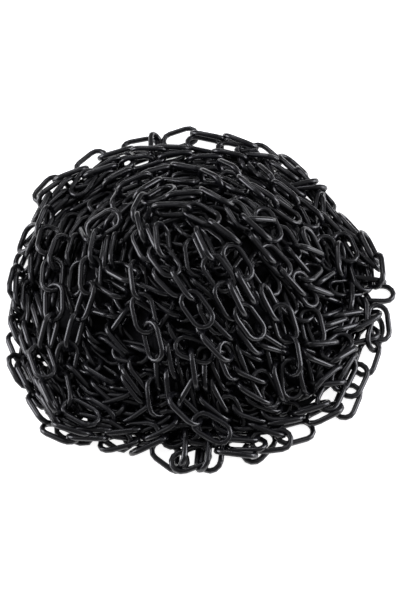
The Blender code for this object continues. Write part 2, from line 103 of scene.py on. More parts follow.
# The links that the photograph shows, strand by strand: lift over the core, then each link's middle in the
# photograph's pixels, its heading there (0 right, 90 down) and its turn (0 lies flat, 90 stands on edge)
STRANDS = {
    "rim_back": (8.0, (
        (49, 188, -44, 10), (72, 176, -22, 65), (92, 162, -38, 5), (117, 154, -15, 60),
        (142, 146, -12, 5), (158, 149, 85, 58), (180, 140, -12, 0), (210, 138, 10, 58),
        (240, 144, 16, 58), (265, 155, 38, 18), (292, 168, 45, 45), (308, 184, 48, 65),
        (321, 201, 48, 25), (335, 217, 55, 65), (350, 230, 46, 50), (368, 249, 55, 50),
        (375, 273, 92, -62))),
    "rim_right": (6.0, (
        (379, 325, 80, 5), (375, 336, 105, 50), (366, 358, 112, 0), (353, 381, 115, 0),
        (345, 404, 120, 0), (323, 415, 156, -42), (293, 432, 158, 0), (269, 442, 175, 5))),
    "rim_front": (2.0, (
        (258, 450, -50, 5), (236, 453, 178, -60), (211, 452, 100, -20), (203, 452, 92, -60),
        (190, 459, 158, 5), (181, 450, 95, -60), (169, 455, 222, 5), (149, 446, 162, -60),
        (118, 441, 172, -20), (89, 438, 184, -60), (61, 431, 208, -28), (42, 409, 240, -45),
        (28, 379, 242, -66), (22, 350, 255, -35))),
    "rim_left": (8.0, (
        (24, 320, 257, 0), (22, 290, 272, -58), (24, 265, 283, 28), (30, 238, 285, 38),
        (43, 209, 300, 65))),
    "left_inside_rim": (10.0, (
        (35, 270, 95, 70), (33, 298, 92, 20), (36, 322, 78, 80), (32, 345, 75, 20), (36, 368, 68, 75),
        (46, 392, 65, 66), (53, 410, 55, 72))),
    "left_foot": (6.0, (
        (40, 380, 64, 66), (50, 402, 56, 60), (64, 421, 36, 62), (73, 428, 20, 60), (94, 432, 4, 62),
        (120, 431, -5, 62))),
    "left_outer_top": (12.0, (
        (55, 195, 142, 50), (60, 205, 137, 65))),
    "left_outer": (28.0, (
        (46, 223, 112, 70), (49, 240, 103, 20), (61, 252, 108, 40), (53, 274, 91, 0),
        (54, 302, 88, -22), (49, 332, 105, 60), (43, 363, 78, 5), (49, 396, 65, 75))),
    "left_second": (8.0, (
        (87, 201, 128, 15), (72, 227, 118, 15), (57, 230, 110, -35), (76, 251, 105, 55),
        (77, 278, 94, -40), (71, 302, 65, 78))),
    "left_third": (20.0, (
        (105, 225, 148, 35), (98, 247, 103, 60), (91, 275, 97, 5), (86, 301, 113, -48),
        (75, 331, 103, 60), (65, 361, 98, 5), (63, 390, 82, -60), (80, 414, 26, 5))),
    "left_third_loop": (2.0, (
        (91, 237, 60, 35), (105, 202, 140, 20), (103, 189, 142, 75))),
    "left_fourth": (6.0, (
        (121, 203, 118, 65), (126, 189, 120, 10), (117, 250, 98, 60), (107, 252, 92, 80),
        (122, 272, 27, 28), (113, 288, 38, 40))),
    "left_hollow": (-8.0, (
        (92, 326, 62, 38), (121, 322, 125, 70), (107, 350, 38, 0), (131, 352, 8, 15), (88, 350, 68, 65),
        (108, 312, 15, 60), (138, 368, 30, 20), (122, 338, 60, 40))),
    "left_floor": (0.0, (
        (102, 371, 28, 60), (88, 383, 45, 30), (84, 366, 10, 40), (107, 392, 40, 70),
        (118, 396, -20, 65), (90, 402, 20, 15), (108, 413, -18, 45), (120, 424, -8, 20),
        (95, 428, 10, 65), (124, 408, 15, 40), (136, 386, 60, 40))),
    "back_outer": (16.0, (
        (101, 172, -20, 60), (118, 168, -25, 20), (150, 151, 0, 75), (172, 149, 2, 60),
        (205, 145, 8, 10), (236, 151, 15, 15), (262, 160, 15, 60), (276, 171, 60, 50))),
    "back_second": (20.0, (
        (85, 184, -58, 20), (118, 179, -28, 50), (148, 161, -16, 20), (176, 159, -10, 60),
        (206, 159, -2, 45), (230, 157, 10, 65), (248, 161, 62, 40), (266, 178, 35, 70),
        (285, 195, 38, 70))),
    "back_third": (20.0, (
        (135, 185, -24, 65), (156, 174, -18, 50), (189, 169, 3, 20), (230, 171, 25, 65),
        (252, 188, 30, 40), (262, 172, 40, 20), (285, 172, 35, 60), (290, 186, 30, 20))),
    "back_fourth": (14.0, (
        (180, 181, 5, 15), (212, 181, 25, 70), (233, 185, 25, 10), (262, 197, 35, 60))),
    "top_bright": (16.0, (
        (149, 190, -30, 60), (160, 195, -32, 10), (186, 198, -5, 65), (216, 197, 25, 35),
        (240, 216, 58, 20), (257, 229, 50, 60))),
    "top_ring": (17.0, (
        (172, 210, 0, 70), (202, 214, 28, 0), (224, 233, 42, 65), (238, 262, 60, 15),
        (246, 287, 58, 75), (249, 322, 55, 25))),
    "top_right": (9.0, (
        (250, 209, 45, 20), (256, 222, 10, 60), (268, 226, 58, 15), (285, 212, 35, 0),
        (286, 244, 60, 5), (299, 262, 50, 60))),
    "shoulder_right": (11.0, (
        (308, 190, 0, 70), (300, 186, -10, 50), (308, 213, 42, 65), (320, 207, 85, 60),
        (309, 219, 80, 10), (331, 226, 40, 50), (349, 235, 40, 60))),
    "right_top": (18.0, (
        (312, 246, 68, 45), (329, 254, 74, 10), (345, 249, 70, 5), (357, 252, 66, 30),
        (361, 277, 76, 20), (340, 262, 80, 65))),
    "right_under": (0.0, (
        (360, 274, 85, 25), (364, 262, 40, 60), (366, 284, 20, 60))),
    "right_bars": (15.0, (
        (308, 252, 25, 65), (308, 271, -36, 0), (322, 281, -36, 65), (316, 291, 31, 50),
        (346, 289, -5, 5))),
    "right_knot": (6.0, (
        (305, 309, -55, 5), (314, 310, 70, 60), (326, 301, 24, 55), (330, 313, -15, 30),
        (346, 317, 0, 70), (309, 329, 75, 5), (330, 326, -15, 70))),
    "right_fill": (0.0, (
        (288, 322, 68, 60), (300, 318, 60, 20), (314, 336, 75, 65), (303, 345, 60, 60),
        (322, 330, -15, 60))),
    "right_fill_low": (0.0, (
        (300, 374, 60, 60), (312, 366, 30, 50))),
    "right_long": (10.0, (
        (343, 331, -12, 65), (362, 323, -30, 45), (359, 335, -8, 15))),
    "right_foot": (15.0, (
        (318, 345, -18, 70), (336, 348, -45, 5), (340, 359, -43, 75), (318, 358, 18, 60),
        (343, 373, 115, 45), (327, 380, 142, 65))),
    "right_foot_low": (7.0, (
        (344, 373, 110, 86), (327, 396, 118, 5), (326, 385, 12, 62), (311, 411, 155, -55),
        (284, 424, 170, -60), (281, 412, 172, -22))),
    "right_slope": (13.0, (
        (262, 248, 55, 65), (276, 260, 52, 20), (291, 283, 52, 70), (304, 293, 62, 20))),
    "right_slope_low": (4.0, (
        (266, 278, 55, 20), (280, 276, 55, 70), (262, 296, 62, 60), (284, 298, 62, 30),
        (292, 306, 80, 70))),
    "main_right": (17.0, (
        (270, 303, 62, 60), (284, 323, 72, 0), (291, 357, 84, -30), (291, 379, 88, 5),
        (305, 376, 72, 60))),
    "middle_ring": (17.0, (
        (206, 244, 65, 60), (218, 273, 56, 0), (229, 301, 62, 15), (238, 300, 62, 75),
        (249, 337, 58, 65))),
    "centre_bars": (6.0, (
        (202, 252, 60, 70), (196, 258, 80, 20), (207, 289, 38, 70), (212, 315, 65, 20),
        (219, 327, 50, 70), (212, 338, 46, 60))),
    "centre_left": (16.0, (
        (163, 240, 82, 50), (164, 261, 52, 15), (171, 281, 47, 35), (184, 285, 52, 70),
        (197, 309, 56, 0), (216, 345, 50, 60), (229, 361, 68, 42))),
    "centre_black": (0.0, (
        (180, 246, 5, 60), (174, 258, 50, 30), (190, 277, 8, 25), (186, 227, 50, 30),
        (172, 222, -20, 50))),
    "swirl_left": (15.0, (
        (142, 209, 115, 65), (143, 229, 75, 70), (147, 245, 64, 5), (157, 241, 62, 65),
        (139, 280, 83, 48), (144, 313, 77, 0), (153, 341, 76, -45))),
    "centre_low": (-4.0, (
        (154, 289, 35, 70), (158, 277, 45, 30), (167, 307, 32, 65), (161, 316, -55, 60),
        (171, 335, 45, 40), (178, 337, 60, 65))),
    "front_bright": (10.0, (
        (196, 349, 15, 15), (207, 365, 86, 5), (196, 371, 88, 80), (203, 396, 72, 10),
        (190, 392, 120, 60))),
    "front_ring": (28.0, (
        (184, 409, 40, 62), (211, 428, 30, 0))),
    "front_low": (10.0, (
        (180, 435, -18, 8), (158, 428, -25, 60), (172, 387, 88, 65), (174, 362, 75, 66))),
    "front_fill": (0.0, (
        (207, 372, 80, 60), (211, 393, 75, 60), (196, 385, 60, 60), (222, 352, 60, 65),
        (214, 405, 30, 60), (186, 372, 70, 60))),
    "front_left": (0.0, (
        (143, 376, 62, 40), (149, 394, 70, 15), (134, 381, 45, 65), (150, 420, -20, 60),
        (134, 406, -20, 40), (180, 432, -20, 30), (160, 372, 85, 60), (157, 396, 80, 30),
        (168, 420, -10, 30))),
    "front_right": (5.0, (
        (241, 361, 68, 75), (250, 350, 18, 65), (252, 373, 28, 60), (262, 362, 50, 15),
        (269, 351, 20, 70), (268, 337, 30, 60), (241, 396, 37, 0), (220, 395, 60, 60),
        (231, 416, 60, 10), (222, 372, 75, 60), (265, 388, 60, 25), (262, 402, 30, 60),
        (275, 398, 40, 20), (278, 384, 80, 60), (252, 412, 20, 60), (272, 360, 75, 60),
        (254, 393, 35, 70))),
    "front_foot": (0.0, (
        (239, 438, 3, 70), (243, 444, 2, 45), (232, 430, 20, 30), (258, 424, 10, 30),
        (264, 431, 20, 65), (250, 425, 5, 65), (200, 440, 10, 70))),
}

# Studio softboxes: place and side in metres, power in watts, and their slightly cool light
SOFTBOXES = (
    ("back_softbox", (-0.2, 0.9, 1.4), 0.45, 3.0),
    ("left_sheet", (-1.1, 0.1, 1.2), 1.6, 4.5),
    ("right_sheet", (1.1, 0.1, 1.2), 1.6, 4.5),
    ("left_softbox", (-1.5, 0.1, 0.5), 0.9, 19.0),
    ("right_softbox", (1.5, 0.1, 0.5), 0.9, 19.0),
)
SOFTBOX_COLOUR = (0.93, 0.93, 1.0)

# The rest of the stage: a pale floor, its side in metres, that glows a little so that it stays white, a dim
# white sky, and the height of the camera's sensor in millimetres
FLOOR_SIDE = 6.0
FLOOR_COLOUR = (0.9, 0.9, 0.9, 1.0)
FLOOR_ROUGHNESS = 0.8
FLOOR_GLOW = 0.9
WHITE = (1.0, 1.0, 1.0, 1.0)
SKY_STRENGTH = 0.2
SENSOR_HEIGHT = 36.0

# The plastic's colours: the blackest and the palest link, rubbed arrises and scuffs, and dust
BLACKEST_LINK = (0.003, 0.003, 0.004)
PALEST_LINK = (0.0055, 0.0055, 0.007)
RUBBED_PLASTIC = (0.012, 0.012, 0.015)
DUST_COLOUR = (0.09, 0.09, 0.1)
DUST_COVER = 0.12

# The plastic's roughness where it is glossiest and dullest, and what scuffs and dust add to it
GLOSSIEST = 0.16
DULLEST = 0.25
SCUFF_DULLING = 0.15
DUST_DULLING = 0.1

# The chain deep inside, a near-black dome that paints the shade there: the painted shade of its gaps, the
# colour of its links and of dust on them, and its roughness
GAP_PAINTED_SHADE = (0.002, 0.002, 0.0024)
INNER_LINK = (0.005, 0.005, 0.006)
INNER_DUST = (0.02, 0.02, 0.022)
INNER_DUST_COVER = 0.02
INNER_GLOSSIEST = 0.8
INNER_DULLEST = 0.95

# How strongly and how deep, in metres, the plastic's grain and parting line stand out, and the inner links
PLASTIC_RELIEF = 0.25
PLASTIC_RELIEF_DEPTH = 0.00012
INNER_RELIEF = 0.5
INNER_RELIEF_DEPTH = 0.002

# The wire's marks: how far out towards an arris the rubbing starts and is full, as a sum of shares of the
# wire's half width and half depth, and where the parting line's edge starts and ends, in millimetres
RUB_START = 1.2
RUB_FULL = 1.42
PARTING_HALF = 0.15
PARTING_EDGE = 0.4

# The scene's pieces, each with the starts of the names of the strands and of the solids that it stands for
REGIONS = (
    ("chain_rim", ("rim_",)),
    ("chain_left", ("left_",)),
    ("chain_back", ("back_", "top_", "shoulder_")),
    ("chain_right", ("right_", "main_right", "free_")),
    ("chain_middle", ("middle", "centre_", "swirl", "crown")),
    ("chain_front", ("front_",)),
)

# The free end of the chain, flat on the floor: its middle in the photograph's pixels, and how high that is
END_LINK_PX = (374.5, 294.0)
END_LINK_HEIGHT = 3.3

# Hidden chain, in loops round the heap's middle: how far out each whole loop runs, over the core and on the
# floor, and at the heap's foot and back how far out each part loop runs and the angles that it spans
HIDDEN_LIFT = -10.0
HIDDEN_LOOPS = (16.0, 36.0, 56.0, 76.0, 96.0, 116.0, 134.0, 148.0)
FLOOR_LOOPS = (146.0,)
FOOT_LOOPS = (
    (158.0, 155.0, 222.0), (168.0, 155.0, 222.0), (176.0, 155.0, 222.0), (150.0, 95.0, 165.0),
    (160.0, 30.0, 160.0), (172.0, 50.0, 160.0), (152.0, -35.0, 35.0), (162.0, -14.0, 48.0),
    (184.0, 205.0, 238.0), (168.0, 222.0, 258.0), (166.0, 118.0, 160.0), (178.0, 118.0, 148.0),
    (172.0, 212.0, 248.0))
BACK_LIFT = -1.0
BACK_LOOPS = (
    (70.0, 35.0, 160.0), (84.0, 25.0, 165.0), (98.0, 20.0, 165.0), (112.0, 10.0, 170.0),
    (126.0, 5.0, 170.0), (138.0, 5.0, 170.0))
FLOOR_LOOP_HEIGHT = 7.0
LOWEST_LOOP = 12.0

# How the hidden loops waver: the waves in a turn, how far they carry a whole and a part loop in and out,
# how many points draw a loop, and how far its links' turns stray from 45 and 135 degrees
LOOP_WAVES = (2, 3, 5)
LOOP_WOBBLE = 6.0
PART_WOBBLE = 2.5
LOOP_POINTS = 181
TURN_STRAY = 25.0
LOOP_SEED = 11
WHOLE_TURN = 360.0

# Settling: the points that stand for a link's wire, and how near two of them come, on loose links and on
# links that follow each other
WIRE_POINTS = 20
WIRE_TOUCH = 5.3
JOINT_TOUCH = 4.7

# The rounds of settling, how many of them at the end only push links apart, and how often and how far round
# each point its neighbours are looked up
SETTLE_ROUNDS = 320
QUIET_ROUNDS = 80
LOOK_AGAIN = 5
LOOK_REACH = 8.5

# How firmly a link is drawn back to its place in a round, and how firmly along the sight line at most
SHOWN_HOLD = 0.3
RIM_HOLD = 0.4
END_HOLD = 0.5
HIDDEN_HOLD = 0.012
DEPTH_HOLD = 0.03

# How easily a link gives way: less the higher its strand lies, least at the rim and at the free end. Shown
# links give way less across the sight line than along it, and in turning
LOWER_LIFT = -4.0
LOWER_EASE = 0.6
UPPER_LIFT = 16.0
UPPER_EASE = 0.12
RIM_EASE = 0.15
END_EASE = 0.05
SIDE_EASE = 0.3
TURN_EASE = 0.5
TURN_ARM = 14.0

# How far a shown link may stray across the sight line, how far a link falls in a round, how high over the
# floor its wire's middle line stays, and how much of a lack of that height a lift and a turn make up
SIDE_STRAY = 3.5
FALL = 0.03
FLOOR_TOUCH = 2.6
FLOOR_LIFT = 0.6
FLOOR_TURN = 0.4

# Added to a length that is divided by, so that it is never zero
TINY_TURN = 1e-12
TINY_GAP = 1e-9


def core_height(x, y):
    """Height of the core's skin at places in plan, as arrays or numbers."""
    reach = np.minimum(np.hypot(x, y) / CORE_RADIUS, 1.0)
    dome = np.cos(np.pi / 2 * reach)
    lumps = 0.0
    for lump_x, lump_y, spread, rise in CORE_LUMPS:
        lumps = lumps + rise * np.exp(-((x - lump_x) ** 2 + (y - lump_y) ** 2) / spread ** 2)
    return CORE_HEIGHT * dome + lumps * np.minimum(1.0, LUMP_FADE * dome)


def core_normal(x, y):
    """Way out of the core's skin, smoothed over a link's width."""
    span = LINK_WIDTH / 2
    slope_x = (core_height(x + span, y) - core_height(x - span, y)) / (2 * span)
    slope_y = (core_height(x, y + span) - core_height(x, y - span)) / (2 * span)
    normal = np.stack([-slope_x, -slope_y, np.ones_like(slope_x)], axis=-1)
    return normal / np.linalg.norm(normal, axis=-1, keepdims=True)


def photo_to_heap(pixels, lift):
    """Carry pixels of the photograph along their sight lines, on to the core's skin raised by lift."""
    pixels = np.asarray(pixels, float)
    on_sheet = np.zeros((len(pixels), 3))
    on_sheet[:, 0] = pixels[:, 0] - HEAP_MIDDLE_PX[0]
    on_sheet += SIGHT_UP * (HEAP_MIDDLE_PX[1] - pixels[:, 1])[:, None]
    sight = on_sheet - EYE
    sight /= np.linalg.norm(sight, axis=1, keepdims=True)
    reach = np.full(len(pixels), SEARCH_START * SIGHT_DISTANCE)
    for _ in range(int(SEARCH_SPAN * SIGHT_DISTANCE / SEARCH_STRIDE)):
        place = EYE + sight * reach[:, None]
        above = place[:, 2] > core_height(place[:, 0], place[:, 1]) + lift
        reach = np.where(above, reach + SEARCH_STRIDE, reach)
    low = reach - SEARCH_STRIDE
    high = reach
    for _ in range(SEARCH_HALVINGS):
        middle = (low + high) / 2
        place = EYE + sight * middle[:, None]
        above = place[:, 2] > core_height(place[:, 0], place[:, 1]) + lift
        low = np.where(above, middle, low)
        high = np.where(above, high, middle)
    return EYE + sight * high[:, None]


def even_joints(path, pitch):
    """Joints along a path, evenly spaced at about the pitch."""
    steps = np.linalg.norm(np.diff(path, axis=0), axis=1)
    along = np.concatenate([[0.0], np.cumsum(steps)])
    count = max(1, round(along[-1] / pitch))
    wanted = np.linspace(0.0, along[-1], count + 1)
    return np.stack([np.interp(wanted, along, path[:, axis]) for axis in range(3)], axis=1)


def link_axes(middles, along, turns, lean):
    """Axes (along, side, face) of links that lie on the core's skin, turned about their length.

    A lean below 1 keeps the links more level than the skin is.
    """
    along = along / np.linalg.norm(along, axis=1, keepdims=True)
    outward = core_normal(middles[:, 0], middles[:, 1]) * (*lean, 1.0)
    across = np.cross(outward, along)
    across /= np.linalg.norm(across, axis=1, keepdims=True)
    level = np.cross(along, across)
    turn = np.radians(turns)[:, None]
    face = level * np.cos(turn) + across * np.sin(turn)
    return np.stack([along, np.cross(face, along), face], axis=2)


def wire_line():
    """Points along the middle line of a link's wire, in the link's own axes."""
    half = STRAIGHT / 2
    bend = math.pi * BEND_RADIUS
    length = 2 * (STRAIGHT + bend)
    points = []
    for number in range(WIRE_POINTS):
        run = (number + 0.5) * length / WIRE_POINTS
        if run < STRAIGHT:
            points.append((run - half, BEND_RADIUS, 0.0))
        elif run < STRAIGHT + bend:
            angle = math.pi / 2 - (run - STRAIGHT) / BEND_RADIUS
            points.append((half + BEND_RADIUS * math.cos(angle), BEND_RADIUS * math.sin(angle), 0.0))
        elif run < 2 * STRAIGHT + bend:
            points.append((half - (run - STRAIGHT - bend), -BEND_RADIUS, 0.0))
        else:
            angle = -math.pi / 2 - (run - 2 * STRAIGHT - bend) / BEND_RADIUS
            points.append((BEND_RADIUS * math.cos(angle) - half, BEND_RADIUS * math.sin(angle), 0.0))
    return np.array(points)


def near_pairs(points, owner, reach):
    """Pairs of points of different links that lie within reach, found through a grid of cells."""
    cell = np.floor(points / reach).astype(np.int64)
    cell -= cell.min(axis=0) - 1
    size = cell.max(axis=0) + 2
    key = (cell[:, 0] * size[1] + cell[:, 1]) * size[2] + cell[:, 2]
    order = np.argsort(key, kind="stable")
    ordered = key[order]
    first = []
    second = []
    for dx in (0, 1):
        for dy in (-1, 0, 1):
            for dz in (-1, 0, 1):
                if (dx, dy, dz) < (0, 0, 0):
                    continue
                wanted = key + (dx * size[1] + dy) * size[2] + dz
                low = np.searchsorted(ordered, wanted, "left")
                count = np.searchsorted(ordered, wanted, "right") - low
                one = np.repeat(np.arange(len(points)), count)
                within = np.arange(len(one)) - np.repeat(np.cumsum(count) - count, count)
                other = order[np.repeat(low, count) + within]
                keep = owner[one] != owner[other]
                if (dx, dy, dz) == (0, 0, 0):
                    keep &= one < other
                first.append(one[keep])
                second.append(other[keep])
    first = np.concatenate(first)
    second = np.concatenate(second)
    close = ((points[first] - points[second]) ** 2).sum(axis=1) < reach ** 2
    return first[close], second[close]


def turned(axes, turn):
    """Turn each link's axes by a small rotation vector, and keep them square."""
    angle = np.linalg.norm(turn, axis=1, keepdims=True) + TINY_TURN
    spin = np.broadcast_to((turn / angle)[:, :, None], axes.shape)
    angle = angle[:, :, None]
    crossed = np.cross(spin, axes, axis=1)
    dotted = (spin * axes).sum(axis=1, keepdims=True)
    axes = axes * np.cos(angle) + crossed * np.sin(angle) + spin * dotted * (1 - np.cos(angle))
    along = axes[:, :, 0] / np.linalg.norm(axes[:, :, 0], axis=1, keepdims=True)
    face = np.cross(along, axes[:, :, 1])
    face /= np.linalg.norm(face, axis=1, keepdims=True)
    return np.stack([along, np.cross(face, along), face], axis=2)


def wires_that_may_touch(points, owner, follows):
    """Pairs of wire points of different links that are near, their links, and how near they may come."""
    one, other = near_pairs(points, owner, LOOK_REACH)
    link_a = owner[one]
    link_b = owner[other]
    joined = (follows[link_a] == link_b) | (follows[link_b] == link_a)
    return one, other, link_a, link_b, np.where(joined, JOINT_TOUCH, WIRE_TOUCH)


def pushes(points, middles, ease, pairs):
    """How far each link is shifted and turned by the wires that its own wire presses into."""
    one, other, link_a, link_b, touch = pairs
    count = len(middles)
    gap = points[one] - points[other]
    distance = np.linalg.norm(gap, axis=1) + TINY_GAP
    deep = touch - distance
    hit = deep > 0
    normal = gap[hit] / distance[hit, None]
    a = link_a[hit]
    b = link_b[hit]
    arm_a = np.cross(points[one[hit]] - middles[a], normal) / TURN_ARM
    arm_b = np.cross(points[other[hit]] - middles[b], normal) / TURN_ARM
    give_a = ease[a] * (1 + (arm_a ** 2).sum(axis=1))
    give_b = ease[b] * (1 + (arm_b ** 2).sum(axis=1))
    push = deep[hit] / (give_a + give_b)
    shift = np.zeros((count, 3))
    turn = np.zeros((count, 3))
    for axis in range(3):
        shift[:, axis] = (np.bincount(a, push * normal[:, axis], count)
                          - np.bincount(b, push * normal[:, axis], count))
        turn[:, axis] = (np.bincount(a, push * arm_a[:, axis], count)
                         - np.bincount(b, push * arm_b[:, axis], count)) / TURN_ARM
    hits = np.bincount(a, minlength=count) + np.bincount(b, minlength=count)
    share = (ease / np.maximum(1.0, np.sqrt(hits)))[:, None]
    return shift * share, turn * share


def along_sight(vectors, sight):
    """The part of each vector that lies along its sight line."""
    return (vectors * sight).sum(axis=1, keepdims=True) * sight


def kept_near(middles, home, sight):
    """Middles that have strayed no further than they may across their sight lines."""
    strayed = middles - home
    deeper = along_sight(strayed, sight)
    aside = strayed - deeper
    far = np.linalg.norm(aside, axis=1, keepdims=True) + TINY_GAP
    return home + deeper + aside * np.minimum(1.0, SIDE_STRAY / far)


def settle(middles, axes, follows, hold, ease):
    """Let the links settle: rigid rings that push each other apart, held near where they were laid.

    The links that the photograph shows keep their place in it, and give way mostly along the sight line.
    """
    line = wire_line()
    count = len(middles)
    owner = np.repeat(np.arange(count), WIRE_POINTS)
    home = middles.copy()
    home_axes = axes.copy()
    up = np.array([0.0, 0.0, 1.0])
    sight = middles - EYE
    sight /= np.linalg.norm(sight, axis=1, keepdims=True)
    firm = (hold >= SHOWN_HOLD)[:, None]
    for number in range(SETTLE_ROUNDS):
        points = (middles[:, None, :] + np.einsum("nij,kj->nki", axes, line)).reshape(-1, 3)
        if number % LOOK_AGAIN == 0:
            pairs = wires_that_may_touch(points, owner, follows)
        shift, turn = pushes(points, middles, ease, pairs)
        deeper = along_sight(shift, sight)
        middles = middles + np.where(firm, deeper + SIDE_EASE * (shift - deeper), shift)
        axes = turned(axes, turn * np.where(firm, TURN_EASE, 1.0))
        if number < SETTLE_ROUNDS - QUIET_ROUNDS:
            away = home - middles
            deeper = along_sight(away, sight)
            middles = middles + hold[:, None] * (away - deeper) - FALL * up
            middles = middles + np.minimum(hold, DEPTH_HOLD)[:, None] * deeper
            back = 0.5 * np.cross(axes, home_axes, axis=1).sum(axis=2)
            axes = turned(axes, hold[:, None] * back)
        middles = np.where(firm, kept_near(middles, home, sight), middles)
        points = points.reshape(count, -1, 3)
        lowest = points[np.arange(count), points[:, :, 2].argmin(axis=1)]
        rise = np.maximum(0.0, FLOOR_TOUCH - lowest[:, 2])[:, None]
        middles = middles + FLOOR_LIFT * rise * up
        axes = turned(axes, np.cross(lowest - middles, up) * rise * FLOOR_TURN / TURN_ARM ** 2)
    return middles, axes


def rest_on_floor(middles, axes, points):
    """Raise the links that would reach into the floor, so that each one's lowest point rests on it."""
    height = middles[:, None, 2] + np.einsum("nj,kj->nk", axes[:, 2, :], points / METRE)
    middles = middles.copy()
    middles[:, 2] += np.maximum(0.0, -height.min(axis=1))
    return middles


def model_link(bend_steps):
    """Model one link in edit mode: a rounded section spun round one bend, drawn along, and closed."""
    half = STRAIGHT / 2 * METRE
    bpy.ops.object.select_all(action="DESELECT")
    bpy.ops.mesh.primitive_plane_add(
        size=1.0, rotation=(0, math.pi / 2, 0), location=(half, -BEND_RADIUS * METRE, 0))
    link = bpy.context.object
    link.name = "link_pattern"
    link.scale = (WIRE_DEEP * METRE, WIRE_ACROSS * METRE, 1.0)
    bpy.ops.object.transform_apply(location=True, rotation=True, scale=True)
    bpy.ops.object.mode_set(mode="EDIT")
    bpy.ops.mesh.select_all(action="SELECT")
    bpy.ops.mesh.bevel(offset=ARRIS * METRE, segments=ARRIS_STEPS, affect="VERTICES")
    bpy.ops.mesh.select_all(action="SELECT")
    bpy.ops.mesh.delete(type="ONLY_FACE")
    bpy.ops.mesh.select_all(action="SELECT")
    bpy.ops.mesh.spin(steps=bend_steps, angle=math.pi, center=(half, 0, 0), axis=(0, 0, -1))
    bpy.ops.mesh.extrude_edges_move(TRANSFORM_OT_translate={"value": (-2 * half, 0, 0)})
    bpy.ops.mesh.spin(steps=bend_steps, angle=math.pi, center=(-half, 0, 0), axis=(0, 0, -1))
    bpy.ops.mesh.extrude_edges_move(TRANSFORM_OT_translate={"value": (2 * half, 0, 0)})
    bpy.ops.mesh.select_all(action="SELECT")
    bpy.ops.mesh.remove_doubles(threshold=MERGE_REACH * METRE)
    bpy.ops.mesh.normals_make_consistent(inside=False)
    bpy.ops.object.mode_set(mode="OBJECT")
    bpy.ops.object.shade_smooth()
    evener = link.modifiers.new("flat_faces", "WEIGHTED_NORMAL")
    evener.weight = 100
    bpy.ops.object.modifier_apply(modifier=evener.name)
    return link


def link_shape(bend_steps):
    """Vertices, normals and faces of one modelled link, as arrays to copy it from."""
    link = model_link(bend_steps)
    points = np.array([vertex.co[:] for vertex in link.data.vertices])
    faces = np.array([face.vertices[:] for face in link.data.polygons])
    corners = np.array([corner.vector[:] for corner in link.data.corner_normals])
    normals = np.zeros_like(points)
    np.add.at(normals, faces.reshape(-1), corners)
    normals /= np.linalg.norm(normals, axis=1, keepdims=True)
    bpy.data.objects.remove(link)
    return points, normals, faces


def wire_section(points):
    """Where each point of a link lies in the wire's own section, in millimetres: across, deep and along."""
    x, y, z = points.T / METRE
    beyond = np.maximum(np.abs(x) - STRAIGHT / 2, 0.0)
    return np.stack([np.hypot(beyond, y) - BEND_RADIUS, z, x], axis=1)


def chain_piece(name, middles, axes, shape, finish):
    """One mesh of many links, with each point's place in the wire and each link's own shade."""
    points, normals, faces = shape
    count = len(middles)
    placed = middles[:, None, :] * METRE + np.einsum("nij,kj->nki", axes, points)
    placed = placed.reshape(-1, 3)
    linked = (faces[None, :, :] + (np.arange(count) * len(points))[:, None, None]).reshape(-1, 4)
    mesh = bpy.data.meshes.new(name)
    mesh.vertices.add(len(placed))
    mesh.vertices.foreach_set("co", placed.ravel())
    mesh.loops.add(linked.size)
    mesh.loops.foreach_set("vertex_index", linked.ravel().astype(np.int32))
    mesh.polygons.add(len(linked))
    mesh.polygons.foreach_set("loop_start", np.arange(0, linked.size, 4, dtype=np.int32))
    mesh.update(calc_edges=True)
    mesh.validate()
    mesh.shade_smooth()
    facing = np.einsum("nij,kj->nki", axes, normals).reshape(-1, 3)
    mesh.normals_split_custom_set_from_vertices(facing)
    section = mesh.attributes.new("section", "FLOAT_VECTOR", "POINT")
    section.data.foreach_set("vector", np.tile(wire_section(points), (count, 1)).ravel())
    tone = mesh.attributes.new("link_tone", "FLOAT", "POINT")
    shades = np.random.default_rng(len(name) + count).uniform(0.0, 1.0, count)
    tone.data.foreach_set("value", np.repeat(shades, len(points)))
    mesh.materials.append(finish)
    piece = bpy.data.objects.new(name, mesh)
    bpy.context.scene.collection.objects.link(piece)
    return piece


def effect_group(name, inputs, outputs):
    """An empty shader node group with its named number sockets."""
    made = bpy.data.node_groups.new(name, "ShaderNodeTree")
    for label, value in inputs:
        socket = made.interface.new_socket(label, in_out="INPUT", socket_type="NodeSocketFloat")
        socket.default_value = value
    for label in outputs:
        made.interface.new_socket(label, in_out="OUTPUT", socket_type="NodeSocketFloat")
    return made, made.nodes.new("NodeGroupInput"), made.nodes.new("NodeGroupOutput")


def noise(tree, scale, detail, distortion=0.0):
    """Noise over the object's own coordinates; its number output."""
    place = tree.nodes.new("ShaderNodeTexCoord")
    pattern = tree.nodes.new("ShaderNodeTexNoise")
    pattern.inputs["Scale"].default_value = scale
    pattern.inputs["Detail"].default_value = detail
    pattern.inputs["Distortion"].default_value = distortion
    tree.links.new(place.outputs["Object"], pattern.inputs["Vector"])
    return pattern.outputs["Fac"]


def reckon(tree, operation, first, second=None):
    """A Math node on one or two numbers or outputs; its output."""
    sum_node = tree.nodes.new("ShaderNodeMath")
    sum_node.operation = operation
    for number, value in enumerate((first, second)):
        if isinstance(value, bpy.types.NodeSocket):
            tree.links.new(value, sum_node.inputs[number])
        elif value is not None:
            sum_node.inputs[number].default_value = value
    return sum_node.outputs["Value"]


def ranged(tree, value, low, high, to_low=0.0, to_high=1.0):
    """A number carried from one range to another, and kept within it."""
    mapped = tree.nodes.new("ShaderNodeMapRange")
    mapped.inputs["From Min"].default_value = low
    mapped.inputs["From Max"].default_value = high
    mapped.inputs["To Min"].default_value = to_low
    mapped.inputs["To Max"].default_value = to_high
    tree.links.new(value, mapped.inputs["Value"])
    return mapped.outputs["Result"]


